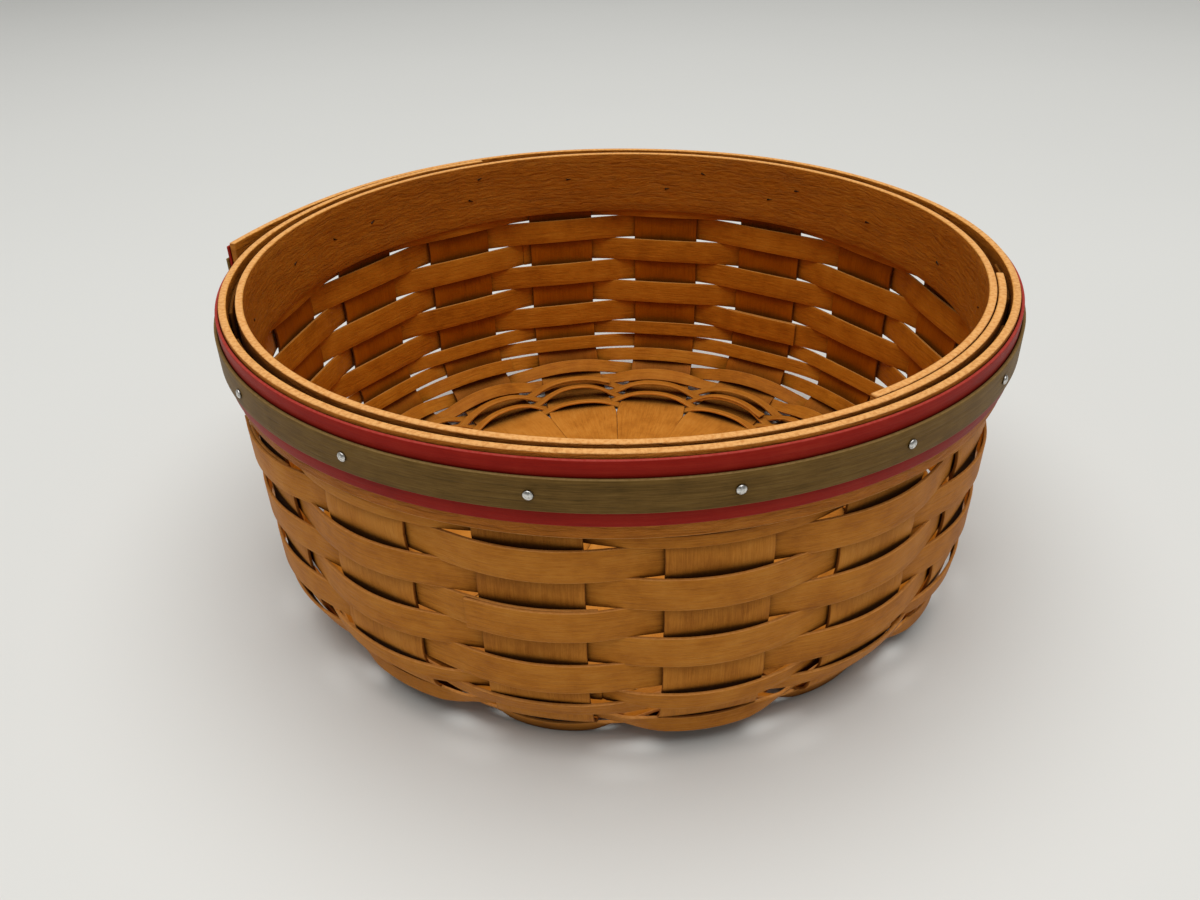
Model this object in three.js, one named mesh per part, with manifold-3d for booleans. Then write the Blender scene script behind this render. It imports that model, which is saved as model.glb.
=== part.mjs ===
// A round splint basket. Eight hourglass splints cross in a stack at the middle of the base and
// turn up as sixteen uprights. Flat weavers run round the base and the wall, over one upright and
// under the next. Two bent wood bands clamp the tops of the uprights, and a red and a green strip
// are tacked round the outer band.
// Millimetres and degrees, +Z up. The origin is on the table, under the middle of the outline.
// Azimuth 0 is the front (-Y), and azimuth grows towards +X.

import * as THREE from 'three';
import { mergeVertices } from 'three/addons/utils/BufferGeometryUtils.js';
import Module from 'manifold-3d';

// Degrees all round
const FULL_TURN = 360;

// Overall shape
const RIM_RADIUS = 128;
const BASKET_HEIGHT = 108;
const CORNER_RADIUS = 30;
const WALL_LEAN = 1.35;

// Gaps between pieces
const CLEARANCE = 0.3;
const CORNER_CLEARANCE = 0.6;
const BAND_CLEARANCE = 0.4;

// Splints
const SPLINT_COUNT = 8;
const SPLINT_WIDTH = 28;
const SPLINT_THICKNESS = 0.9;
const NECK_WIDTH = 10;
const NECK_MARGIN = 1;
const PETAL_GAP = 0.8;
const CENTRE_LIFT = 0.8;
const UPRIGHT_TOP_DROP = 3;
const UPRIGHT_TURN = 0.5;

// Weavers
const WEAVER_THICKNESS = 0.9;
const BASE_WEAVE_DEPTH = 10.34;
const BASE_WEAVER_COUNT = 5;
const BASE_WEAVER_WIDTH = 3.7;
const BASE_WEAVER_SPACE = 0.4;
const BASE_ARCH = 3.4;
const NARROW_WEAVER_COUNT = 5;
const NARROW_WEAVER_WIDTH = 5.9;
const NARROW_WEAVER_SPACE = 0.6;
const NARROW_ARCH = 1.7;
const WIDE_WEAVER_WIDTH = 9.8;
const WIDE_WEAVER_SPACE = 0.45;
const WIDE_ARCH = 1.5;
const TOP_WEAVER_WIDTH = 2.6;
const TOP_ARCH = 0.9;

// The upright at which each row laps, from the top weaver down
const WEAVER_LAPS = [4, 13, 8, 15, 4, 6, 15, 4, 9, 14, 3, 8, 13, 6, 1, 12];

// Bands
const BAND_THICKNESS = 2.4;
const INNER_BAND_HEIGHT = 25.5;
const OUTER_BAND_HEIGHT = 24.5;
const INNER_BAND_START = 32;
const INNER_BAND_LAP = 47;
const OUTER_BAND_START = 207;
const OUTER_BAND_LAP = 57;
const OUTER_BAND_RAMP = 40;
const OUTER_BAND_SPRING = 6;

// Strips round the outer band, and their tacks
const RED_STRIP_WIDTH = 18.7;
const RED_STRIP_DROP = 1.25;
const RED_STRIP_THICKNESS = 1;
const GREEN_STRIP_WIDTH = 9.5;
const GREEN_STRIP_THICKNESS = 1;
const STRIP_END_GAP = 3;
const TACK_HEAD_RADIUS = 1.4;
const TACK_HEAD_HEIGHT = 0.95;
const TACK_CROWN_RADIUS = 1.1;
const TACK_RIM_HEIGHT = 0.6;
const TACK_SHANK_RADIUS = 0.6;

// Degrees by which each tack strays from the middle of its upright
const TACK_STRAYS = [0.9, -0.2, -1.8, 0.6, -0.4, 0.8, -0.7, 0.3, 0.9, -0.5, 0.4, -0.8, 0.6, 2, 1.4, 1.4];

// Facets
const CORNER_STEPS = 10;
const BAND_STEPS = 64;
const TACK_SIDES = 8;

const WOOD = { color: 0xb9782f, roughness: 0.55, metalness: 0 };
const PALE_WOOD = { color: 0xc98c45, roughness: 0.55, metalness: 0 };
const RED_STAIN = { color: 0x9c2f32, roughness: 0.5, metalness: 0 };
const GREEN_STAIN = { color: 0x6c6340, roughness: 0.55, metalness: 0 };
const STEEL = { color: 0xb8b6b0, roughness: 0.3, metalness: 1 };

const UPRIGHT_COUNT = 2 * SPLINT_COUNT;
const UPRIGHT_PITCH = FULL_TURN / UPRIGHT_COUNT;
const UPRIGHT_RADIUS = RIM_RADIUS - BAND_THICKNESS - BAND_CLEARANCE - SPLINT_THICKNESS / 2;
const PETAL_SLOPE = Math.tan(radians(UPRIGHT_PITCH / 2));
const STACK_STEP = SPLINT_THICKNESS + CLEARANCE;

// Height of the splints' middle over the table, where the base weavers lie flat beneath them
const FLOOR_HEIGHT = WEAVER_THICKNESS + CLEARANCE + SPLINT_THICKNESS / 2;

const wasm = await Module();
wasm.setup();

function radians(degrees) {
  return (2 * Math.PI * degrees) / FULL_TURN;
}

function degrees(radians) {
  return (radians * FULL_TURN) / (2 * Math.PI);
}

function outward(azimuth) {
  return new THREE.Vector3(Math.sin(radians(azimuth)), -Math.cos(radians(azimuth)), 0);
}

function uprightAzimuth(index) {
  return UPRIGHT_PITCH * (index + 0.5) + UPRIGHT_TURN;
}

// The wall's middle line, from the rim down: upright inside the bands, a slight lean, a round
// corner, and the flat ring of the base. A point on it is found by its length from the rim.
function makeProfile() {
  const lean = radians(WALL_LEAN);
  const wallDrop = BASKET_HEIGHT - INNER_BAND_HEIGHT - FLOOR_HEIGHT;
  const wallLength = (wallDrop - CORNER_RADIUS * (1 - Math.sin(lean))) / Math.cos(lean);
  const floorRadius = UPRIGHT_RADIUS - wallLength * Math.sin(lean) - CORNER_RADIUS * Math.cos(lean);
  const cornerStart = INNER_BAND_HEIGHT + wallLength;
  const floorStart = cornerStart + CORNER_RADIUS * (Math.PI / 2 - lean);
  const cornerHeight = FLOOR_HEIGHT + CORNER_RADIUS;

  function at(length) {
    if (length <= INNER_BAND_HEIGHT) {
      return wallPoint(UPRIGHT_RADIUS, BASKET_HEIGHT - length, 0);
    }
    if (length <= cornerStart) {
      const along = length - INNER_BAND_HEIGHT;
      const height = BASKET_HEIGHT - INNER_BAND_HEIGHT - along * Math.cos(lean);
      return wallPoint(UPRIGHT_RADIUS - along * Math.sin(lean), height, lean);
    }
    if (length <= floorStart) {
      const turn = lean + (length - cornerStart) / CORNER_RADIUS;
      const radius = floorRadius + CORNER_RADIUS * Math.cos(turn);
      return wallPoint(radius, cornerHeight - CORNER_RADIUS * Math.sin(turn), turn);
    }
    return wallPoint(floorRadius - (length - floorStart), FLOOR_HEIGHT, Math.PI / 2);
  }

  return { at, cornerStart, floorStart, floorRadius };
}

// A place on the middle line, with the wall's outward normal there and the way down along it
function wallPoint(radius, height, turn) {
  const normal = new THREE.Vector2(Math.cos(turn), -Math.sin(turn));
  const down = new THREE.Vector2(normal.y, -normal.x);
  return { place: new THREE.Vector2(radius, height), normal, down };
}

const profile = makeProfile();

// A closed body through rings of points. Each ring goes along one side and back along the other.
function loft(rings) {
  const size = rings[0].length;
  const index = [];
  const addQuad = (a, b, c, d) => index.push(a, b, c, a, c, d);
  for (let i = 0; i + 1 < rings.length; i++) {
    for (let j = 0; j < size; j++) {
      const next = (j + 1) % size;
      addQuad(i * size + j, i * size + next, (i + 1) * size + next, (i + 1) * size + j);
    }
  }
  const last = (rings.length - 1) * size;
  for (let j = 0; j + 1 < size / 2; j++) {
    addQuad(j, size - 1 - j, size - 2 - j, j + 1);
    addQuad(last + j, last + j + 1, last + size - 2 - j, last + size - 1 - j);
  }
  const points = rings.flat();
  const geometry = new THREE.BufferGeometry().setFromPoints(points);
  geometry.setIndex(signedVolume(points, index) < 0 ? index.reverse() : index);
  return geometry;
}

function signedVolume(points, index) {
  let volume = 0;
  for (let i = 0; i < index.length; i += 3) {
    const [a, b, c] = [points[index[i]], points[index[i + 1]], points[index[i + 2]]];
    volume += a.dot(b.clone().cross(c)) / 6;
  }
  return volume;
}

// A rectangle of strip standing in the half-plane of one azimuth
function stripRing(azimuth, middle, across, through, width, thickness) {
  const direction = outward(azimuth);
  const corners = [[-1, 1], [1, 1], [1, -1], [-1, -1]];
  return corners.map(([side, face]) => {
    const flat = middle.clone();
    flat.addScaledVector(across, (side * width) / 2);
    flat.addScaledVector(through, (face * thickness) / 2);
    return direction.clone().multiplyScalar(flat.x).setZ(flat.y);
  });
}

// Splints: narrow necks stacked at the centre, petals side by side on the base, then uprights

function splintHalfWidth(radius) {
  const petal = radius * PETAL_SLOPE - PETAL_GAP / 2;
  return Math.min(SPLINT_WIDTH / 2, Math.max(NECK_WIDTH / 2, petal));
}

// The splints with even numbers pass below those with odd numbers where necks cross
function stackLevel(splint) {
  const half = SPLINT_COUNT / 2;
  const isUpper = splint % 2;
  const order = Math.floor(splint / 2);
  return (isUpper ? order + 0.5 : order - half + 0.5) * STACK_STEP;
}

// Stations of half a splint, from the centre of the base to the top of the upright
function splintStations(splint) {
  const stackRadius = NECK_WIDTH / 2 / Math.tan(radians(UPRIGHT_PITCH)) + NECK_MARGIN;
  const crossRadius = NECK_WIDTH / 2 / PETAL_SLOPE + NECK_MARGIN;
  const joinRadius = crossRadius + NECK_WIDTH;
  const taperRadius = (SPLINT_WIDTH + PETAL_GAP) / 2 / PETAL_SLOPE;
  const level = stackLevel(splint);
  const lift = CENTRE_LIFT + SPLINT_THICKNESS / 2 - stackLevel(0) - FLOOR_HEIGHT;
  const levels = [
    [0, level],
    [stackRadius, level],
    [crossRadius, Math.sign(level) * STACK_STEP / 2],
    [joinRadius, 0],
    [(joinRadius + taperRadius) / 2, 0],
    [taperRadius, 0],
  ];
  const stations = levels.map(([radius, step]) => {
    const dome = (lift * (1 + Math.cos((Math.PI * radius) / taperRadius))) / 2;
    return wallPoint(radius, FLOOR_HEIGHT + dome + step, Math.PI / 2);
  });
  for (let i = 0; i <= CORNER_STEPS; i++) {
    const share = i / CORNER_STEPS;
    stations.push(profile.at(profile.floorStart + share * (profile.cornerStart - profile.floorStart)));
  }
  stations.push(profile.at(INNER_BAND_HEIGHT));
  stations.push(profile.at(UPRIGHT_TOP_DROP));
  return stations;
}

// Three points across the outer face and three back across the inner face, curved with the wall
function splintRing(station, direction, sideways) {
  const { place, normal } = station;
  const half = splintHalfWidth(place.x);
  const curve = place.x > 0 ? normal.x / place.x : 0;
  const middle = direction.clone().multiplyScalar(place.x).setZ(place.y);
  const out = direction.clone().multiplyScalar(normal.x).setZ(normal.y);
  const point = (offset, face) => {
    const turn = curve * offset;
    const reach = turn ? Math.sin(turn) / curve : offset;
    const fall = turn ? (1 - Math.cos(turn)) / curve : 0;
    const through = (face * SPLINT_THICKNESS) / 2;
    const p = middle.clone();
    p.addScaledVector(sideways, reach + through * Math.sin(turn));
    return p.addScaledVector(out, through * Math.cos(turn) - fall);
  };
  return [point(-half, 1), point(0, 1), point(half, 1), point(half, -1), point(0, -1), point(-half, -1)];
}

function splintGeometry(splint) {
  const azimuth = uprightAzimuth(splint);
  const direction = outward(azimuth);
  const sideways = outward(azimuth + FULL_TURN / 4);
  const stations = splintStations(splint);
  const near = stations.map((station) => splintRing(station, direction, sideways));
  const opposite = direction.clone().negate();
  const far = stations.slice(1).map((station) => splintRing(station, opposite, sideways));
  return loft([...near.reverse(), ...far]);
}

// Weavers: one strip to a row, lapped over itself at one upright

function weaverRows() {
  const rows = [];
  let edge = profile.floorStart + BASE_WEAVE_DEPTH;
  const addRows = (name, count, width, space, arch, clearance) => {
    for (let i = 1; i <= count; i++) {
      edge -= width + space;
      rows.push({ name: `${name}_${i}`, length: edge + (width + space) / 2, width, arch, clearance });
    }
  };
  addRows('base_weaver', BASE_WEAVER_COUNT, BASE_WEAVER_WIDTH, BASE_WEAVER_SPACE, BASE_ARCH, CLEARANCE);
  const narrow = [NARROW_WEAVER_WIDTH, NARROW_WEAVER_SPACE, NARROW_ARCH, CORNER_CLEARANCE];
  addRows('narrow_weaver', NARROW_WEAVER_COUNT, ...narrow);
  const topEdge = Math.max(INNER_BAND_HEIGHT, OUTER_BAND_HEIGHT) + CLEARANCE;
  const room = edge - topEdge - TOP_WEAVER_WIDTH - CLEARANCE;
  const wideCount = Math.floor(room / (WIDE_WEAVER_WIDTH + WIDE_WEAVER_SPACE));
  addRows('wide_weaver', wideCount, WIDE_WEAVER_WIDTH, WIDE_WEAVER_SPACE, WIDE_ARCH, CLEARANCE);
  const length = topEdge + TOP_WEAVER_WIDTH / 2;
  rows.push({ name: 'top_weaver', length, width: TOP_WEAVER_WIDTH, arch: TOP_ARCH, clearance: CLEARANCE });
  return rows;
}

// A row passes outside every second upright, and the rows take turns. No outside pass arches
// below the table, so those under the base lie flat and the basket stands on them. The top weaver
// is row 0, tucked up against the bands.
function weaverGeometry(row, rowFromTop) {
  const { place, normal, down } = profile.at(row.length);
  const seat = (SPLINT_THICKNESS + WEAVER_THICKNESS) / 2 + row.clearance;
  const halfAngle = degrees(Math.asin(splintHalfWidth(place.x) / place.x));
  const lowestEdge = place.y - (Math.abs(down.y) * row.width) / 2;
  const room = lowestEdge / Math.abs(normal.y) - seat - WEAVER_THICKNESS / 2;
  const lapUpright = WEAVER_LAPS[rowFromTop % WEAVER_LAPS.length];
  const rings = [];
  for (let i = 0; i <= UPRIGHT_COUNT; i++) {
    const upright = lapUpright + i;
    const side = (upright + rowFromTop) % 2 === 0 ? 1 : -1;
    const arch = side > 0 ? THREE.MathUtils.clamp(room, 0, row.arch) : row.arch;
    const lapLayer = i === 0 ? WEAVER_THICKNESS + CLEARANCE : 0;
    for (const part of [-1, 0, 1]) {
      const offset = side * (seat + lapLayer + (part === 0 ? arch : 0));
      const middle = place.clone().addScaledVector(normal, offset);
      const azimuth = uprightAzimuth(upright) + part * halfAngle;
      rings.push(stripRing(azimuth, middle, down, normal, row.width, WEAVER_THICKNESS));
    }
  }
  return loft(rings);
}

// Bands: each starts inside, goes once round and laps over its own start on the outside

const RADIAL = new THREE.Vector2(1, 0);
const UPWARD = new THREE.Vector2(0, 1);
const LAYER = BAND_THICKNESS + CLEARANCE;

function innerBandRadius(azimuth) {
  const outerLayer = UPRIGHT_RADIUS - SPLINT_THICKNESS / 2 - BAND_CLEARANCE - BAND_THICKNESS / 2;
  const lapEnd = INNER_BAND_START + INNER_BAND_LAP;
  const climb = THREE.MathUtils.clamp((azimuth - lapEnd) / (FULL_TURN - INNER_BAND_LAP), 0, 1);
  return outerLayer - LAYER * (1 - climb);
}

function outerBandRadius(azimuth) {
  const lapStart = OUTER_BAND_START + FULL_TURN;
  const climb = THREE.MathUtils.smoothstep(azimuth, lapStart - OUTER_BAND_RAMP, lapStart);
  const free = Math.max(0, (azimuth - lapStart) / OUTER_BAND_LAP);
  return RIM_RADIUS - BAND_THICKNESS / 2 + LAYER * climb + OUTER_BAND_SPRING * free ** 4;
}

function hoopGeometry(start, end, radiusAt, top, width, thickness) {
  const steps = Math.ceil(((end - start) / FULL_TURN) * BAND_STEPS);
  const rings = [];
  for (let i = 0; i <= steps; i++) {
    const azimuth = start + ((end - start) * i) / steps;
    const middle = new THREE.Vector2(radiusAt(azimuth), top - width / 2);
    rings.push(stripRing(azimuth, middle, UPWARD, RADIAL, width, thickness));
  }
  return loft(rings);
}

// Strips and tacks: each tack goes through both strips over an upright

const STRIP_END = OUTER_BAND_START + OUTER_BAND_LAP + FULL_TURN;
const STRIP_START = STRIP_END - FULL_TURN + degrees(STRIP_END_GAP / RIM_RADIUS);
const BAND_FACE = BAND_THICKNESS / 2;
const RED_FACE = BAND_FACE + CLEARANCE + RED_STRIP_THICKNESS;
const GREEN_FACE = RED_FACE + CLEARANCE + GREEN_STRIP_THICKNESS;
const RED_TOP = BASKET_HEIGHT - RED_STRIP_DROP;
const GREEN_TOP = RED_TOP - (RED_STRIP_WIDTH - GREEN_STRIP_WIDTH) / 2;
const TACK_HEIGHT = GREEN_TOP - GREEN_STRIP_WIDTH / 2;

function tackAzimuth(index) {
  const azimuth = uprightAzimuth(index) + TACK_STRAYS[index % TACK_STRAYS.length];
  return azimuth < STRIP_START ? azimuth + FULL_TURN : azimuth;
}

function placeOnBand(object, azimuth, reach) {
  const place = outward(azimuth).multiplyScalar(outerBandRadius(azimuth) + reach);
  object.position.copy(place).setZ(TACK_HEIGHT);
  object.rotation.z = radians(azimuth) + Math.PI;
}

function stripGeometry(top, width, face, thickness) {
  const radiusAt = (azimuth) => outerBandRadius(azimuth) + face - thickness / 2;
  const plain = hoopGeometry(STRIP_START, STRIP_END, radiusAt, top, width, thickness);
  const bore = TACK_SHANK_RADIUS + CLEARANCE;
  const length = 4 * thickness;
  let solid = toSolid(plain);
  for (let i = 0; i < UPRIGHT_COUNT; i++) {
    const drill = new THREE.Mesh(new THREE.CylinderGeometry(bore, bore, length, TACK_SIDES));
    placeOnBand(drill, tackAzimuth(i), face - thickness / 2);
    drill.updateMatrix();
    solid = solid.subtract(toSolid(drill.geometry.applyMatrix4(drill.matrix)));
  }
  return toGeometry(solid);
}

function toSolid(source) {
  const bare = source.clone();
  bare.deleteAttribute('normal');
  bare.deleteAttribute('uv');
  const merged = mergeVertices(bare);
  const vertProperties = new Float32Array(merged.attributes.position.array);
  const triVerts = new Uint32Array(merged.index.array);
  return new wasm.Manifold(new wasm.Mesh({ numProp: 3, vertProperties, triVerts }));
}

function toGeometry(solid) {
  const mesh = solid.getMesh();
  const geometry = new THREE.BufferGeometry();
  geometry.setAttribute('position', new THREE.BufferAttribute(new Float32Array(mesh.vertProperties), 3));
  geometry.setIndex(new THREE.BufferAttribute(new Uint32Array(mesh.triVerts), 1));
  return geometry;
}

function tackGeometry() {
  const shank = GREEN_FACE - BAND_FACE;
  const outline = [
    [0, -shank],
    [TACK_SHANK_RADIUS, -shank],
    [TACK_SHANK_RADIUS, 0],
    [TACK_HEAD_RADIUS, 0],
    [TACK_CROWN_RADIUS, TACK_RIM_HEIGHT],
    [0, TACK_HEAD_HEIGHT],
  ];
  return new THREE.LatheGeometry(outline.map(([x, y]) => new THREE.Vector2(x, y)), TACK_SIDES);
}

// The basket

const basket = new THREE.Group();

function addPiece(name, geometry, finish) {
  const mesh = new THREE.Mesh(geometry, new THREE.MeshStandardMaterial(finish));
  mesh.name = name;
  basket.add(mesh);
  return mesh;
}

for (let i = 0; i < SPLINT_COUNT; i++) {
  addPiece(`splint_${i + 1}`, splintGeometry(i), WOOD);
}

const rows = weaverRows();
rows.forEach((row, i) => addPiece(row.name, weaverGeometry(row, rows.length - 1 - i), WOOD));

const innerEnd = INNER_BAND_START + FULL_TURN + INNER_BAND_LAP;
const innerBand = hoopGeometry(
  INNER_BAND_START, innerEnd, innerBandRadius, BASKET_HEIGHT, INNER_BAND_HEIGHT, BAND_THICKNESS,
);
addPiece('inner_band', innerBand, PALE_WOOD);

const outerBand = hoopGeometry(
  OUTER_BAND_START, STRIP_END, outerBandRadius, BASKET_HEIGHT, OUTER_BAND_HEIGHT, BAND_THICKNESS,
);
addPiece('outer_band', outerBand, PALE_WOOD);

const redStrip = stripGeometry(RED_TOP, RED_STRIP_WIDTH, RED_FACE, RED_STRIP_THICKNESS);
addPiece('red_strip', redStrip, RED_STAIN);
const greenStrip = stripGeometry(GREEN_TOP, GREEN_STRIP_WIDTH, GREEN_FACE, GREEN_STRIP_THICKNESS);
addPiece('green_strip', greenStrip, GREEN_STAIN);

for (let i = 0; i < UPRIGHT_COUNT; i++) {
  const tack = addPiece(`tack_${i + 1}`, tackGeometry(), STEEL);
  placeOnBand(tack, tackAzimuth(i), GREEN_FACE + CLEARANCE);
}

// The sprung end of the outer band widens the outline on one side
const outlineMiddle = new THREE.Box3().setFromObject(basket, true).getCenter(new THREE.Vector3());
basket.children.forEach((piece) => piece.position.sub(outlineMiddle.clone().setZ(0)));

export default basket;
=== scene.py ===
# A round splint basket. Eight hourglass splints cross under the base and turn up as sixteen uprights,
# sixteen flat weavers go over and under them, two bent bands clamp their tops, and a red and a green
# strip are tacked round the outer band. Sizes are in millimetres, and points are placed in metres.
# Azimuths are in degrees: 0 is the front (-Y), and they grow towards +X.

import math
import random

import bpy
from mathutils import Matrix, Vector


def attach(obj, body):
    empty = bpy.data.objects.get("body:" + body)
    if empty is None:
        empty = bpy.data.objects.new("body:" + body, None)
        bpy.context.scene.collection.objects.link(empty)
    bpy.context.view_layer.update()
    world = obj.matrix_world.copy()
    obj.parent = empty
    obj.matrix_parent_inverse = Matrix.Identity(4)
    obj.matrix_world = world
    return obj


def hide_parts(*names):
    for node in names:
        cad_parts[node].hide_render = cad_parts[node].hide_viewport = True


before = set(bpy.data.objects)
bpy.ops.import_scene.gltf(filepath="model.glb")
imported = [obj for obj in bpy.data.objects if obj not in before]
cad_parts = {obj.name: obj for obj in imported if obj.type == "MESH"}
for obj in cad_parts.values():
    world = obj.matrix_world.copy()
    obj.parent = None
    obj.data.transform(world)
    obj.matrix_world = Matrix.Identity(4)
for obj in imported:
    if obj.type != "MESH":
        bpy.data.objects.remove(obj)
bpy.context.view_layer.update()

# Sizes shared with the solid model
MM = 0.001
CLAMP_GAP = 0.4
LAY_GAP = 0.3
STRIP_GAP = 0.2
AXIS = Vector((3.969, -0.336, 0))
UPRIGHTS = 16
SPLINTS = UPRIGHTS // 2
PITCH = 360 / UPRIGHTS
UPRIGHT_TURN = 0.5
RIM_RADIUS = 128
HEIGHT = 108
CORNER = 30
LEAN = math.radians(1.35)
SPLINT = 0.9
WEAVER = 0.9
BAND = 2.4
INNER_BAND_HEIGHT = 25.5
OUTER_BAND_HEIGHT = 24.5
UPRIGHT_RADIUS = RIM_RADIUS - BAND - CLAMP_GAP - SPLINT / 2
FLOOR = WEAVER + LAY_GAP + SPLINT / 2
WALL = (HEIGHT - INNER_BAND_HEIGHT - FLOOR - CORNER * (1 - math.sin(LEAN))) / math.cos(LEAN)
FLOOR_RADIUS = UPRIGHT_RADIUS - WALL * math.sin(LEAN) - CORNER * math.cos(LEAN)
CORNER_START = INNER_BAND_HEIGHT + WALL
FLOOR_START = CORNER_START + CORNER * (math.pi / 2 - LEAN)

# The weave has pushed the round corner out, a little more on the right than on the left
BELLY = 1.9
BELLY_SWELLS = (7, 24)
BELLY_FADES = (25, 42)
FULLER_RIGHT = 0.3

# Splints
SPLINT_WIDTH = 28.7
PETAL_WIDTH = 30.4
NECK_WIDTH = 10
PETAL_GAP = 0.06
PETAL_TAPER = 10
NECK_MARGIN = 1
PETAL_SLOPE = math.tan(math.radians(PITCH / 2))
PETAL_RADIUS = (PETAL_WIDTH + PETAL_GAP) / 2 / PETAL_SLOPE
STACK_STEP = SPLINT + LAY_GAP
STACK_LIFT = 0.8
STACK_RADIUS = NECK_WIDTH / 2 / math.tan(math.radians(PITCH)) + NECK_MARGIN
CROSS_RADIUS = NECK_WIDTH / 2 / PETAL_SLOPE + NECK_MARGIN
JOIN_RADIUS = CROSS_RADIUS + NECK_WIDTH
UPRIGHT_TOP_DROP = 3
SPLINT_SWAY = 0.25
SPLINT_SEED = 40
SPLINT_COLUMNS, SPLINT_LINES = 320, 8

# Weavers. The laps are the uprights at which the rows end, from the top weaver down
WEAVE_INNER_EDGE = 10.34
WEAVER_STRAY = 0.16
LEAST_PASS = 1.2
PASS_UNEVEN = (0.88, 1.12)
BACK_PASS = 1.5
TILT_SPREAD = 1.5
TABLE_GAP = 0.02
LAP_GAP = 0.08
LAP_OVERHANG = 1.5
CORNER_TURN = 0.45
LEAST_TURN = 0.05
WEAVER_SEED = 900
WEAVER_COLUMNS, WEAVER_LINES = 400, 4
SMOOTHED_COLUMNS = 2
WEAVER_LAPS = [4, 13, 8, 15, 4, 6, 15, 4, 9, 14, 3, 8, 13, 6, 1, 12]

# Rim
LAYER = BAND + LAY_GAP
HOOP_STRAY = 0.12
HOOP_STEP, HOOP_LINES = 1.5, 6
INNER_BAND_START, INNER_BAND_LAP = 32, 47
OUTER_BAND_START, OUTER_BAND_LAP = 207, 57
OUTER_BAND_RAMP, OUTER_BAND_SPRING = 40, 6
STRIP_END = OUTER_BAND_START + OUTER_BAND_LAP + 360
STRIP_END_GAP = 3
STRIP_START = STRIP_END - 360 + math.degrees(STRIP_END_GAP / RIM_RADIUS)
STRIP = 1
RED_WIDTH, RED_DROP = 18.7, 1.25
GREEN_WIDTH = 9.5
GREEN_DROP = RED_DROP + (RED_WIDTH - GREEN_WIDTH) / 2
RED_FACE = BAND / 2 + STRIP_GAP + STRIP
GREEN_FACE = RED_FACE + STRIP_GAP + STRIP
TACK_HEIGHT = HEIGHT - GREEN_DROP - GREEN_WIDTH / 2
TACK_RADIUS = 1.35
TACK_RIM = 0.5
TACK_DOME = ((0.33, 0.24), (0.36, 0.14), (0.32, 0.05))
POINT_SINK = 0.05
POINT_RADIUS, POINT_TIP, POINT_LENGTH = 0.42, 0.1, 2.1
POINT_FLATNESS = 0.7
POINT_SPIN = 0.5
POINT_SEED = 77

# Where the grain of each strip starts along one long board, in metres
SPLINT_GRAIN_STEP = 1.7
WEAVER_GRAIN_START, WEAVER_GRAIN_STEP = 20, 2.3
INNER_GRAIN, OUTER_GRAIN, RED_GRAIN, GREEN_GRAIN = 3, 9, 31, 37

# Soft edges
STRIP_EDGE = 0.16
COLOURED_EDGE = 0.3
BAND_EDGE = 0.45
TACK_EDGE = 0.12
POINT_EDGE = 0.08
STRIP_CREASE = math.radians(50)
TACK_CREASE = math.radians(40)
TACK_SMOOTH = math.radians(60)

# Degrees by which each tack strays from its upright, and where points come through the inner band
TACK_STRAYS = [0.9, -0.2, -1.8, 0.6, -0.4, 0.8, -0.7, 0.3, 0.9, -0.5, 0.4, -0.8, 0.6, 2, 1.4, 1.4]
TACK_POINTS = [
    (11, 13.6), (35, 12.8), (56, 14.2), (80, 13.1), (101.6, 15.5), (123, 14), (140.5, 9.5), (146.5, 15.2),
    (161.2, 7.9), (168.9, 15.2), (189.9, 10.5), (209, 5.8), (211.4, 14.6), (234.6, 11.9), (244.9, 12.4),
    (257.6, 12.2), (280, 13.4), (302, 12.6), (327, 14.4), (348, 13.2),
]


# Places on the basket

def at(azimuth, radius, height):
    turn = math.radians(azimuth)
    return (AXIS + Vector((radius * math.sin(turn), -radius * math.cos(turn), height))) * MM


def upright_azimuth(number):
    return PITCH * (number + 0.5) + UPRIGHT_TURN


def smooth(value, low, high):
    share = min(1, max(0, (value - low) / (high - low)))
    return share * share * (3 - 2 * share)


def fuller(azimuth):
    """The basket is a little fuller on its right than on its left."""
    return 1 + FULLER_RIGHT * math.sin(math.radians(azimuth))


def front_share(azimuth):
    """1 at the front and 0 at the back."""
    return (1 + math.cos(math.radians(azimuth))) / 2


def belly(length):
    """How far the weave has pushed the round corner out."""
    below = length - CORNER_START
    return BELLY * smooth(below, *BELLY_SWELLS) * (1 - smooth(below, *BELLY_FADES))


def wall_at(length, azimuth):
    """Radius, height and turn of the wall's middle line, a length down from the rim."""
    radius, height, turn = plain_wall_at(length)
    out = belly(length) * fuller(azimuth)
    step = 0.1
    slope = (belly(length + step) - belly(length - step)) / (2 * step) * fuller(azimuth)
    return radius + math.cos(turn) * out, height - math.sin(turn) * out, turn - slope


def plain_wall_at(length):
    """The same without the belly: upright under the bands, leaning, round at the corner, and flat."""
    if length <= INNER_BAND_HEIGHT:
        return UPRIGHT_RADIUS, HEIGHT - length, 0
    if length <= CORNER_START:
        along = length - INNER_BAND_HEIGHT
        height = HEIGHT - INNER_BAND_HEIGHT - along * math.cos(LEAN)
        return UPRIGHT_RADIUS - along * math.sin(LEAN), height, LEAN
    if length <= FLOOR_START:
        turn = LEAN + (length - CORNER_START) / CORNER
        return FLOOR_RADIUS + CORNER * math.cos(turn), FLOOR + CORNER * (1 - math.sin(turn)), turn
    return FLOOR_RADIUS - (length - FLOOR_START), FLOOR, math.pi / 2


def wobble(dice, size, waves=(2, 3, 5, 9)):
    """A small unevenness that runs round the basket without a seam."""
    parts = [(n, dice.uniform(0, 2 * math.pi), dice.uniform(0.4, 1) / n ** 0.5) for n in waves]
    return lambda azimuth: size * sum(h * math.sin(n * math.radians(azimuth) + p) for n, p, h in parts)


# Strips: a flat grid bent into place, then given its thickness and soft edges

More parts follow.
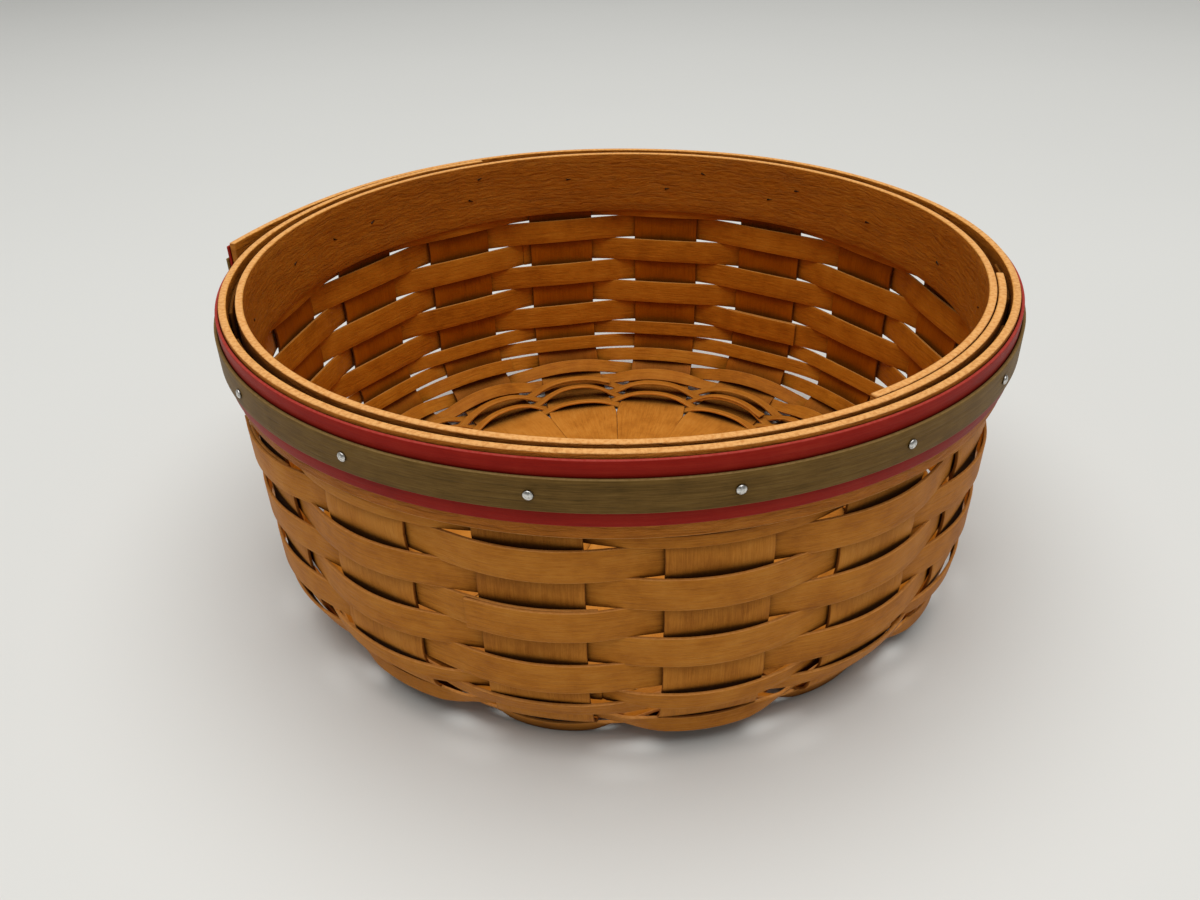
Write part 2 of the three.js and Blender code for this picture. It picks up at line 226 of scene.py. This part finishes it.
def bent_strip(name, columns, lines, bend, length, thickness, edge, grain_start):
    """bend(along, across) gives a point for along from 0 to 1 and across from -1 to 1."""
    bpy.ops.object.select_all(action="DESELECT")
    bpy.ops.mesh.primitive_grid_add(x_subdivisions=columns, y_subdivisions=lines, size=2)
    strip = bpy.context.object
    strip.name = strip.data.name = name
    flat = [vertex.co.copy() for vertex in strip.data.vertices]
    grain = strip.data.uv_layers[0]
    grain.name = "grain"
    for loop, spot in zip(strip.data.loops, grain.data):
        corner = flat[loop.vertex_index]
        spot.uv = (grain_start + (corner.x + 1) / 2 * length * MM, corner.y)
    for vertex, corner in zip(strip.data.vertices, flat):
        vertex.co = bend((corner.x + 1) / 2, corner.y)
    finish_with(strip, "SOLIDIFY", thickness=thickness * MM, offset=0, use_even_offset=True)
    soften(strip, edge, STRIP_CREASE)
    bpy.ops.object.shade_smooth_by_angle(angle=STRIP_CREASE)
    mark_painted_inside_shade(strip)
    return strip


def mark_painted_inside_shade(strip):
    """1 on faces that look at the basket's axis, where the inside is given painted shade, and 0 on all
    others.
    """
    inside = strip.data.attributes.new("inside", "FLOAT", "FACE")
    for face, mark in zip(strip.data.polygons, inside.data):
        to_axis = (AXIS * MM - face.center) * Vector((1, 1, 0))
        mark.value = max(0, face.normal.dot(to_axis.normalized()))


def finish_with(piece, kind, **settings):
    bpy.context.view_layer.objects.active = piece
    modifier = piece.modifiers.new(kind.title(), kind)
    for key, value in settings.items():
        setattr(modifier, key, value)
    bpy.ops.object.modifier_apply(modifier=modifier.name)


def soften(piece, edge, crease):
    finish_with(piece, "BEVEL", width=edge * MM, segments=2, limit_method="ANGLE", angle_limit=crease)


def set_piece(piece, finish, node=None):
    piece.data.materials.clear()
    piece.data.materials.append(finish)
    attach(piece, "root")
    if node:
        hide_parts(node)


# Splints

def splint_half_width(radius):
    """Narrow at the neck, widest where the petals meet the weave, and a little narrower up the wall."""
    petal = radius * PETAL_SLOPE - PETAL_GAP / 2
    taper = smooth(radius, PETAL_RADIUS, FLOOR_RADIUS + PETAL_TAPER)
    widest = PETAL_WIDTH + (SPLINT_WIDTH - PETAL_WIDTH) * taper
    return min(widest / 2, max(NECK_WIDTH / 2, petal))


def stack_level(splint):
    """Even splints pass below odd ones where the necks cross."""
    below = 0 if splint % 2 else SPLINTS / 2
    return (splint // 2 + 0.5 - below) * STACK_STEP


def splint_at(splint, reach, azimuth):
    """Radius, height and turn of a splint's middle line, a reach out from the centre of the base."""
    if reach > FLOOR_RADIUS:
        return wall_at(FLOOR_START + FLOOR_RADIUS - reach, azimuth)
    level = stack_level(splint)
    half_step = math.copysign(STACK_STEP / 2, level)
    step = level + (half_step - level) * smooth(reach, STACK_RADIUS, CROSS_RADIUS)
    step *= 1 - smooth(reach, CROSS_RADIUS, JOIN_RADIUS)
    lift = STACK_LIFT + SPLINT / 2 - stack_level(0) - FLOOR
    dome = lift * (1 + math.cos(math.pi * min(1, reach / PETAL_RADIUS))) / 2
    return reach, FLOOR + dome + step, math.pi / 2


def pressed(number, length):
    """The weavers press an upright in where they pass outside it, and out where they pass inside."""
    stops = [(INNER_BAND_HEIGHT, 0)]
    for row_number, row in enumerate(ROWS):
        side = -1 if (number + row_number) % 2 == 0 else 1
        stops.append((row["length"], row["press"] * side))
    for (above, start), (below, end) in zip(stops, stops[1:]):
        if above <= length <= below:
            return start + (end - start) * smooth(length, above, below)
    return 0


def splint(number):
    dice = random.Random(SPLINT_SEED + number)
    azimuth = upright_azimuth(number)
    longest = FLOOR_RADIUS + FLOOR_START - UPRIGHT_TOP_DROP
    sway = wobble(dice, SPLINT_SWAY)

    def bend(along, across):
        reach = (2 * along - 1) * longest
        radius, height, turn = splint_at(number, abs(reach), azimuth + (0 if reach > 0 else 180))
        half_width = splint_half_width(radius)
        press = pressed(number, FLOOR_START + FLOOR_RADIUS - abs(reach))
        radius, height = radius + math.cos(turn) * press, height - math.sin(turn) * press
        side = math.copysign(1, reach)
        offset = across * half_width + sway(360 * along)
        curve = math.cos(turn) / max(radius, 1)
        swing = curve * offset
        sideways = math.sin(swing) / curve if abs(swing) > 1e-6 else offset
        fall = (1 - math.cos(swing)) / curve if abs(swing) > 1e-6 else 0
        out = radius - fall * math.cos(turn)
        up = height + fall * math.sin(turn)
        forward = Vector((math.sin(math.radians(azimuth)), -math.cos(math.radians(azimuth)), 0))
        right = Vector((math.cos(math.radians(azimuth)), math.sin(math.radians(azimuth)), 0))
        return (AXIS + forward * (side * out) + right * sideways + Vector((0, 0, up))) * MM

    return bent_strip(f"splint_{number + 1}_wood", SPLINT_COLUMNS, SPLINT_LINES, bend, 2 * longest,
                      SPLINT, STRIP_EDGE, number * SPLINT_GRAIN_STEP)


# Weavers

def weaver_rows():
    """Rows from the top down. A row has its place and width, how round its passes are, how far they stand up
    from the wall's slope, how far they press the uprights, their heights, and the row's rise at the front."""
    flat = dict(inside_fit=1.3, outside_fit=8, inside_stand=-0.15, press=0)
    round_corner = dict(inside_fit=1.1, outside_fit=1.1, inside_stand=0.2, press=0.4)
    upright = dict(inside_fit=1, outside_fit=1, inside_stand=0, press=0.4)
    own = ("inside", "outside", "outside_stand", "rise")
    base_rows = [(2.8, 1.15, 0, 0), (4.6, 1.15, 0, 0), (5.8, 1.15, 0, 0), (5.4, 1.2, 0, 0), (4.8, 1.8, 0, 0)]
    narrow_rows = [(3.4, 1.5, 0.3, -0.4), (3.4, 3.7, 0.6, -1.4), (3.4, 1.9, 0.85, 0.2), (3.4, 1.6, -0.5, 3),
                   (3.4, 2.1, 0.4, 1.2)]
    wide_rows = [(1.8, 2.5, 0, rise) for rise in (2.2, 1.5, 1.2, 1.1, 0.4)]
    kinds = [("base", 3.9, 0.2, flat, base_rows), ("narrow", 6, 0.5, round_corner, narrow_rows),
             ("wide", 10.15, 0.1, upright, wide_rows)]
    rows = []
    edge = FLOOR_START + WEAVE_INNER_EDGE
    for kind, width, space, shape, passes in kinds:
        for number, values in enumerate(passes, 1):
            edge -= width + space
            middle = edge + (width + space) / 2
            place = dict(name=f"{kind}_weaver_{number}", kind=kind, length=middle, width=width)
            rows.append(place | shape | dict(zip(own, values)))
    top = dict(name="top_weaver", kind="top", length=27.4, width=3.6, press=0.3)
    rows.append(rows[-1] | top | dict(inside=3.2, outside=1.4, rise=0))
    return rows[::-1]


ROWS = weaver_rows()


def pass_height(row, side, uneven, place, azimuth):
    """How far a pass stands off the wall at its upright."""
    height = row[side] * uneven
    if side == "outside":
        spread = fuller(azimuth) if row["kind"] == "narrow" and place[2] > CORNER_TURN else 1
        return min(max(LEAST_PASS, height * spread), room_below(place, row))
    if row["kind"] == "wide":
        return height * (BACK_PASS - (BACK_PASS - 1) * front_share(azimuth))
    return height


def weaver(row, number):
    """A row passes outside every second upright, and laps over its own start at one upright."""
    dice = random.Random(WEAVER_SEED + number)
    radius = plain_wall_at(row["length"])[0]
    lap = WEAVER_LAPS[number]
    reach = math.degrees(math.asin(SPLINT_WIDTH / 2 / radius)) + LAP_OVERHANG
    start = upright_azimuth(lap) - reach
    sweep = 360 + 2 * reach
    uneven = [dice.uniform(*PASS_UNEVEN) for _ in range(UPRIGHTS + 1)]
    uneven[-1] = uneven[0]
    stray = wobble(dice, WEAVER_STRAY)
    places, waves, tilts = [], [], []
    for i in range(WEAVER_COLUMNS + 1):
        azimuth = start + sweep * i / WEAVER_COLUMNS
        place = wall_at(row["length"] - row["rise"] * front_share(azimuth), azimuth)
        passing = round((azimuth - upright_azimuth(lap)) / PITCH)
        swing = abs(azimuth - upright_azimuth(lap + passing)) / (PITCH / 2)
        side = "outside" if (lap + passing + number) % 2 == 0 else "inside"
        height = pass_height(row, side, uneven[passing], place, azimuth)
        share = math.cos(math.pi / 2 * min(1, swing) ** row[side + "_fit"])
        layer = 0
        if passing == 0:
            on_top = azimuth < upright_azimuth(lap)
            layer = (WEAVER + LAP_GAP) * (1 if on_top else 1 - smooth(swing, reach / (PITCH / 2), 1))
        places.append(place)
        waves.append((height * share + layer) * (1 if side == "outside" else -1))
        tilts.append(place[2] * row[side + "_stand"] * min(1, TILT_SPREAD * share))
    offsets = []
    for i in range(WEAVER_COLUMNS + 1):
        near = waves[max(0, i - SMOOTHED_COLUMNS):i + SMOOTHED_COLUMNS + 1]
        offsets.append(sum(near) / len(near))

    def bend(along, across):
        i = round(along * WEAVER_COLUMNS)
        azimuth = start + sweep * along
        radius, height, turn = places[i]
        across *= row["width"] / 2
        out = offsets[i] + across * math.sin(tilts[i])
        fall = across * math.cos(tilts[i]) + stray(azimuth)
        out_of_wall = math.cos(turn) * out - math.sin(turn) * fall
        up = -math.sin(turn) * out - math.cos(turn) * fall
        return at(azimuth, radius + out_of_wall, height + up)

    return bent_strip(row["name"] + "_wood", WEAVER_COLUMNS, WEAVER_LINES, bend, math.radians(sweep) * radius,
                      WEAVER, STRIP_EDGE, WEAVER_GRAIN_START + number * WEAVER_GRAIN_STEP)


def room_below(place, row):
    """How far a row may pass outside the wall without touching the table."""
    _, height, turn = place
    if turn < LEAST_TURN:
        return row["outside"] * 2
    slope = turn * (1 - row["outside_stand"])
    lowest = math.cos(slope) * row["width"] / 2 + math.sin(slope) * WEAVER / 2 + TABLE_GAP
    return (height - lowest) / math.sin(turn)


# Bands and strips

def inner_band_radius(azimuth):
    outer_layer = UPRIGHT_RADIUS - SPLINT / 2 - CLAMP_GAP - BAND / 2
    climb = min(1, max(0, (azimuth - INNER_BAND_START - INNER_BAND_LAP) / (360 - INNER_BAND_LAP)))
    return outer_layer - LAYER * (1 - climb)


def outer_band_radius(azimuth):
    lap_start = OUTER_BAND_START + 360
    free = max(0, (azimuth - lap_start) / OUTER_BAND_LAP)
    climb = smooth(azimuth, lap_start - OUTER_BAND_RAMP, lap_start)
    return RIM_RADIUS - BAND / 2 + LAYER * climb + OUTER_BAND_SPRING * free ** 4


def hoop(name, start, end, radius_at, top, width, thickness, edge, grain_start):
    stray = wobble(random.Random(name), HOOP_STRAY)

    def bend(along, across):
        azimuth = start + (end - start) * along
        return at(azimuth, radius_at(azimuth), top - width / 2 + across * width / 2 + stray(azimuth))

    columns = round((end - start) / HOOP_STEP)
    length = math.radians(end - start) * RIM_RADIUS
    return bent_strip(name, columns, HOOP_LINES, bend, length, thickness, edge, grain_start)


# Tacks

def tack_head():
    """A domed steel head with a turned-down rim, made at the origin and facing +Z."""
    bpy.ops.object.select_all(action="DESELECT")
    bpy.ops.mesh.primitive_cylinder_add(vertices=20, radius=TACK_RADIUS * MM, depth=TACK_RIM * MM,
                                        location=(0, 0, TACK_RIM / 2 * MM))
    head = bpy.context.object
    bpy.ops.object.transform_apply(location=True, rotation=False, scale=False)
    bpy.ops.object.mode_set(mode="EDIT")
    bpy.ops.mesh.select_mode(type="FACE")
    bpy.ops.mesh.select_all(action="DESELECT")
    bpy.ops.object.mode_set(mode="OBJECT")
    for face in head.data.polygons:
        face.select = face.normal.z > 0.9
    bpy.ops.object.mode_set(mode="EDIT")
    for inset, rise in TACK_DOME:
        bpy.ops.mesh.inset(thickness=inset * MM, depth=rise * MM)
    bpy.ops.object.mode_set(mode="OBJECT")
    soften(head, TACK_EDGE, TACK_CREASE)
    bpy.ops.object.shade_smooth_by_angle(angle=TACK_SMOOTH)
    return head


def tack_point():
    """The turned-over end of a tack, lying along X on the inner band and facing +Z."""
    bpy.ops.object.select_all(action="DESELECT")
    bpy.ops.mesh.primitive_cone_add(vertices=8, radius1=POINT_RADIUS * MM, radius2=POINT_TIP * MM,
                                    depth=POINT_LENGTH * MM)
    point = bpy.context.object
    point.scale = (POINT_FLATNESS, 1, 1)
    point.rotation_euler = (0, math.pi / 2, 0)
    bpy.ops.object.transform_apply(location=False, rotation=True, scale=True)
    soften(point, POINT_EDGE, TACK_CREASE)
    bpy.ops.object.shade_smooth_by_angle(angle=TACK_SMOOTH)
    return point


def copy_to(pattern, name, spot):
    piece = pattern.copy()
    piece.data = pattern.data.copy()
    piece.name = piece.data.name = name
    piece.data.transform(spot)
    bpy.context.collection.objects.link(piece)
    return piece


def facing(azimuth, radius, height, out=1, spin=0.0):
    """A place on the rim whose Z points outwards (out = 1) or to the axis (out = -1)."""
    turn = math.radians(azimuth)
    normal = Vector((math.sin(turn), -math.cos(turn), 0)) * out
    side = Vector((math.cos(turn), math.sin(turn), 0)) * out
    spot = Matrix((side, Vector((0, 0, 1)), normal)).transposed().to_4x4() @ Matrix.Rotation(spin, 4, "Z")
    spot.translation = at(azimuth, radius, height)
    return spot


# Finishes: a socket's value with arithmetic, and one method that adds a node

class Value:
    def __init__(self, finish, socket):
        self.finish = finish
        self.socket = socket

    def _math(self, operation, first, second):
        return self.finish.add("ShaderNodeMath", {"operation": operation}, {0: first, 1: second})

    def __add__(self, other):
        return self._math("ADD", self, other)

    def __radd__(self, other):
        return self._math("ADD", other, self)

    def __sub__(self, other):
        return self._math("SUBTRACT", self, other)

    def __rsub__(self, other):
        return self._math("SUBTRACT", other, self)

    def __mul__(self, other):
        return self._math("MULTIPLY", self, other)

    def __rmul__(self, other):
        return self._math("MULTIPLY", other, self)

    def __abs__(self):
        return self._math("ABSOLUTE", self, 0)


class Finish:
    def __init__(self, name):
        self.material = bpy.data.materials.new(name)
        self.material.use_nodes = True
        self.tree = self.material.node_tree
        self.tree.nodes.clear()

    def add(self, kind, settings=None, sockets=None, output=0):
        node = self.tree.nodes.new(kind)
        for key, value in (settings or {}).items():
            if key == "stops":
                self.set_stops(node.color_ramp, value)
            else:
                setattr(node, key, value)
        for key, value in (sockets or {}).items():
            if isinstance(value, Value):
                self.tree.links.new(value.socket, node.inputs[key])
            else:
                node.inputs[key].default_value = value
        return Value(self, node.outputs[output])

    def set_stops(self, ramp, stops):
        while len(ramp.elements) < len(stops):
            ramp.elements.new(1)
        for element, (place, colour) in zip(ramp.elements, stops):
            element.position = place
            element.color = colour

    def between(self, value, low, high):
        """0 below low and 1 above high, with soft ends."""
        sockets = {"Value": value, "From Min": low, "From Max": high, "To Min": 0, "To Max": 1}
        return self.add("ShaderNodeMapRange", {"interpolation_type": "SMOOTHSTEP"}, sockets)

    def mix(self, share, first, second, blend="MIX"):
        settings = {"data_type": "RGBA", "blend_type": blend}
        return self.add("ShaderNodeMix", settings, {0: share, 6: first, 7: second}, 2)

    def noise(self, along, across, depth=0.0, detail=3, roughness=0.55):
        where = self.add("ShaderNodeCombineXYZ", {}, {0: along, 1: across, 2: depth})
        sockets = {"Vector": where, "Scale": 1, "Detail": detail, "Roughness": roughness}
        return self.add("ShaderNodeTexNoise", {}, sockets)

    def mottle(self, scale, detail=3):
        """Noise that follows the piece's own space."""
        where = self.add("ShaderNodeTexCoord", {}, {}, 3)
        return self.add("ShaderNodeTexNoise", {}, {"Vector": where, "Scale": scale, "Detail": detail})

    def painted_crevice_shade(self, reach, tight=0.1):
        """1 in the narrow places where pieces cross, where painted shade falls, and 0 in the open."""
        open_sky = self.add("ShaderNodeAmbientOcclusion", {"samples": 6}, {"Distance": reach * MM}, 1)
        return 1 - self.between(open_sky, tight, 0.95)

    def done(self, shader):
        out = self.tree.nodes.new("ShaderNodeOutputMaterial")
        self.tree.links.new(shader.socket, out.inputs["Surface"])
        return self.material


def colour(red, green, blue):
    """A colour as it is seen on a screen, for the shader's linear sockets."""
    def linear(level):
        level /= 255
        return level / 12.92 if level <= 0.04045 else ((level + 0.055) / 1.055) ** 2.4
    return (linear(red), linear(green), linear(blue), 1)


def darker(tone, share):
    return tuple(level * share for level in tone[:3]) + (1,)


def wood(name, half_width, tones, cut, edge=0.3, fibre=0.3, figure=0.15, blotch=0.4, ridges=0.1, wavy=0.6,
         gloss=0.5, relief=0.3, rough=0.0, painted_inside_shade_tint=(1.1, 1.01, 0.55, 1), depth=8, tight=0.1):
    """Stained wood with its grain along the strip. The sawn edges are paler, crossings get painted shade, and
    the inside faces get painted shade of their own. Noise is counted per metre along the strip, then across
    it."""
    deep, honey, pale = tones
    finish = Finish(name)
    grain = finish.add("ShaderNodeSeparateXYZ", {}, {0: finish.add("ShaderNodeUVMap", {"uv_map": "grain"})})
    along, share = grain, Value(finish, grain.socket.node.outputs[1])
    across = share * (half_width * MM)
    drift = finish.noise(along * 60, across * 130, 3.0, 2)
    bent = across + (drift - 0.5) * (wavy * MM)
    fibres = finish.noise(along * 150, bent * 3200, 0.0, 4, 0.65)
    streaks = finish.noise(along * 30, bent * 900, 7.0, 3, 0.6)
    blotches = finish.noise(along * 110, across * 110, 11.0, 4, 0.6)
    lengths = finish.noise(along * 7, across * 12, 17.0, 2, 0.5)
    lines = finish.between(finish.noise(along * 55, bent * 1150, 23.0, 4, 0.6), 0.5, 0.72)
    fine = (fibres - 0.5) * fibre + (streaks - 0.5) * figure
    broad = (blotches - 0.5) * blotch + (lengths - 0.5) * 0.4
    tone = 0.5 + fine + broad
    face = finish.add("ShaderNodeValToRGB", {"stops": [(0.28, deep), (0.5, honey), (0.72, pale)]}, {0: tone})
    face = finish.mix(lines * ridges, face, darker(deep, 0.6))
    sawn = finish.mix(finish.between(finish.mottle(900, 4), 0.35, 0.75) * 0.6, cut, honey)
    rim = finish.between(abs(share), 1 - edge / half_width, 1)
    surface = finish.mix(rim * 0.85, face, sawn)
    # Painted shade: the faces that look inside the basket are tinted darker and redder.
    inside = finish.add("ShaderNodeAttribute", {"attribute_name": "inside"}, {}, 2)
    surface = finish.mix(inside, surface, painted_inside_shade_tint, "MULTIPLY")
    # Painted shade: darker where pieces cross and in narrow places, less on the sawn edges and inside faces.
    painted_crevice_shade = finish.painted_crevice_shade(depth, tight) * (1 - rim * 0.35) * (1 - inside * 0.4)
    surface = finish.mix(painted_crevice_shade * 0.9, surface, darker(deep, 0.12))
    roughness = gloss + (fibres - 0.5) * 0.3 + painted_crevice_shade * 0.4
    ripples = finish.noise(along * 170, bent * 700, 31.0, 4, 0.7)
    height = fibres * 0.5 + streaks * 0.3 + ripples * rough - lines * (5 * ridges)
    bump = finish.add("ShaderNodeBump", {}, {"Strength": relief, "Distance": 0.00025, "Height": height})
    sockets = {"Base Color": surface, "Roughness": roughness, "Normal": bump, "Specular IOR Level": 0.08}
    return finish.done(finish.add("ShaderNodeBsdfPrincipled", {}, sockets))


def steel(name, dark, bright):
    finish = Finish(name)
    dents = finish.mottle(1400)
    shade = finish.add("ShaderNodeValToRGB", {"stops": [(0.35, dark), (0.65, bright)]}, {0: dents})
    # Painted shade: the tack heads darken where they meet the strip.
    shade = finish.mix(finish.painted_crevice_shade(0.8) * 0.9, shade, colour(30, 26, 22))
    bump = finish.add("ShaderNodeBump", {}, {"Strength": 0.3, "Distance": 0.0002, "Height": dents})
    sockets = {"Base Color": shade, "Metallic": 1.0, "Roughness": dents * 0.25 + 0.15, "Normal": bump}
    return finish.done(finish.add("ShaderNodeBsdfPrincipled", {}, sockets))


def paper(name):
    """The pale floor."""
    finish = Finish(name)
    shade = finish.mix(finish.mottle(3), colour(218, 218, 214), colour(222, 222, 218))
    return finish.done(finish.add("ShaderNodeBsdfPrincipled", {}, {"Base Color": shade, "Roughness": 0.6}))


SPLINT_TONES = (colour(144, 80, 18), colour(192, 121, 41), colour(212, 145, 62))
INNER_TONES = (colour(150, 80, 18), colour(194, 116, 37), colour(214, 142, 58))
WEAVER_TONES = (colour(138, 75, 15), colour(187, 116, 36), colour(208, 141, 57))
OUTER_TONES = (colour(136, 72, 14), colour(178, 104, 31), colour(200, 130, 50))
RED_TONES = (colour(120, 17, 9), colour(148, 28, 16), colour(164, 46, 28))
GREEN_TONES = (colour(82, 60, 22), colour(112, 83, 38), colour(132, 104, 54))

WEAVER_CUT = colour(216, 148, 78)
# The bands' sawn edge colour is partly the paler sawn wood and partly a painted highlight.
BAND_CUT_AND_HIGHLIGHT = colour(242, 182, 112)
WEAVER_GRAIN = dict(fibre=0.4, relief=0.5, rough=3.0)
BAND_GRAIN = dict(fibre=0.5, figure=0.3, blotch=0.25, ridges=0.24, wavy=4.5, relief=0.8, rough=5.0)

# The inside tints below are painted shade on faces that look inside, and depth and tight set the reach of the
# painted shade at crossings.
SPLINT_WOOD = wood("splint_wood", 14, SPLINT_TONES, colour(140, 80, 26), fibre=0.4, figure=0.2,
                   painted_inside_shade_tint=(0.78, 0.54, 0.1, 1), depth=13, tight=0.5)
WIDE_WOOD = wood("wide_weaver_wood", 5, WEAVER_TONES, WEAVER_CUT, ridges=0.14, **WEAVER_GRAIN)
NARROW_WOOD = wood("narrow_weaver_wood", 3, WEAVER_TONES, WEAVER_CUT, ridges=0.14, **WEAVER_GRAIN)
BASE_WOOD = wood("base_weaver_wood", 1.9, WEAVER_TONES, WEAVER_CUT, **WEAVER_GRAIN)
INNER_WOOD = wood("inner_band_wood", 12.5, INNER_TONES, BAND_CUT_AND_HIGHLIGHT, painted_inside_shade_tint=(0.82, 0.75, 0.4, 1), **BAND_GRAIN)
OUTER_WOOD = wood("outer_band_wood", 12.5, OUTER_TONES, BAND_CUT_AND_HIGHLIGHT, **BAND_GRAIN)
# The red strip's edge colour is partly its paler sawn edge and partly a painted highlight.
RED_STAIN = wood("red_stain", 9.35, RED_TONES, colour(172, 66, 56), figure=0.3, blotch=0.3, gloss=0.45)
GREEN_STAIN = wood("green_stain", 4.75, GREEN_TONES, colour(142, 114, 68), fibre=0.6, figure=0.4, blotch=0.35,
                   ridges=0.25)
TACK_STEEL = steel("tack_steel", colour(160, 158, 154), colour(232, 230, 226))
POINT_STEEL = steel("tack_point_steel", colour(34, 28, 22), colour(62, 52, 42))


# Pieces, each in the place of its solid

for number in range(SPLINTS):
    set_piece(splint(number), SPLINT_WOOD, f"splint_{number + 1}")

finish_of = {"base": BASE_WOOD, "narrow": NARROW_WOOD, "wide": WIDE_WOOD, "top": NARROW_WOOD}
for number, row in enumerate(ROWS):
    set_piece(weaver(row, number), finish_of[row["kind"]], row["name"])

inner_end = INNER_BAND_START + 360 + INNER_BAND_LAP
inner_band = hoop("inner_band_wood", INNER_BAND_START, inner_end, inner_band_radius,
                  HEIGHT, INNER_BAND_HEIGHT, BAND, BAND_EDGE, INNER_GRAIN)
set_piece(inner_band, INNER_WOOD, "inner_band")
outer_band = hoop("outer_band_wood", OUTER_BAND_START, STRIP_END, outer_band_radius,
                  HEIGHT, OUTER_BAND_HEIGHT, BAND, BAND_EDGE, OUTER_GRAIN)
set_piece(outer_band, OUTER_WOOD, "outer_band")
red_strip = hoop("red_strip_wood", STRIP_START, STRIP_END,
                 lambda azimuth: outer_band_radius(azimuth) + RED_FACE - STRIP / 2,
                 HEIGHT - RED_DROP, RED_WIDTH, STRIP, COLOURED_EDGE, RED_GRAIN)
set_piece(red_strip, RED_STAIN, "red_strip")
green_strip = hoop("green_strip_wood", STRIP_START, STRIP_END,
                   lambda azimuth: outer_band_radius(azimuth) + GREEN_FACE - STRIP / 2,
                   HEIGHT - GREEN_DROP, GREEN_WIDTH, STRIP, COLOURED_EDGE, GREEN_GRAIN)
set_piece(green_strip, GREEN_STAIN, "green_strip")

head = tack_head()
for number in range(UPRIGHTS):
    azimuth = upright_azimuth(number) + TACK_STRAYS[number]
    azimuth += 360 if azimuth < STRIP_START else 0
    spot = facing(azimuth, outer_band_radius(azimuth) + GREEN_FACE, TACK_HEIGHT)
    set_piece(copy_to(head, f"tack_{number + 1}_head", spot), TACK_STEEL, f"tack_{number + 1}")
bpy.data.objects.remove(head)

point = tack_point()
dice = random.Random(POINT_SEED)
for number, (azimuth, drop) in enumerate(TACK_POINTS, 1):
    azimuth += 360 if azimuth < INNER_BAND_START else 0
    radius = inner_band_radius(azimuth) - BAND / 2 - POINT_SINK
    spot = facing(azimuth, radius, HEIGHT - drop, -1, dice.uniform(-POINT_SPIN, POINT_SPIN))
    set_piece(copy_to(point, f"tack_point_{number}", spot), POINT_STEEL)
bpy.data.objects.remove(point)


# Floor, light and camera

bpy.ops.object.select_all(action="DESELECT")
bpy.ops.mesh.primitive_circle_add(vertices=96, radius=5, fill_type="NGON")
ground = bpy.context.object
ground.name = "ground"
ground.data.materials.append(paper("ground_paper"))

bpy.ops.object.light_add(type="AREA", location=(0, -0.13, 2.2))
lamp = bpy.context.object
lamp.data.shape = "DISK"
lamp.data.size = 2.9
lamp.data.energy = 55

world = bpy.data.worlds.new("studio")
bpy.context.scene.world = world
world.use_nodes = True
world.node_tree.nodes["Background"].inputs["Color"].default_value = (1, 1, 0.98, 1)
world.node_tree.nodes["Background"].inputs["Strength"].default_value = 0.27

bpy.ops.object.camera_add()
camera = bpy.context.object
camera.data.lens = 30
camera.data.sensor_width = 36
camera.data.clip_start = 0.01
pitch, yaw, roll = 0.5553, -0.0217, -0.0237
back, above = 2.5075 * RIM_RADIUS, 0.9434 * RIM_RADIUS
level_turn = Matrix.Rotation(-yaw, 3, "Z") @ Matrix.Rotation(math.pi / 2 - pitch, 3, "X")
camera.rotation_euler = (level_turn @ Matrix.Rotation(roll, 3, "Z")).to_euler()
camera.location = (AXIS + Vector((0, -back, HEIGHT + above))) * MM
bpy.context.scene.camera = camera
bpy.context.scene.view_settings.view_transform = "Standard"
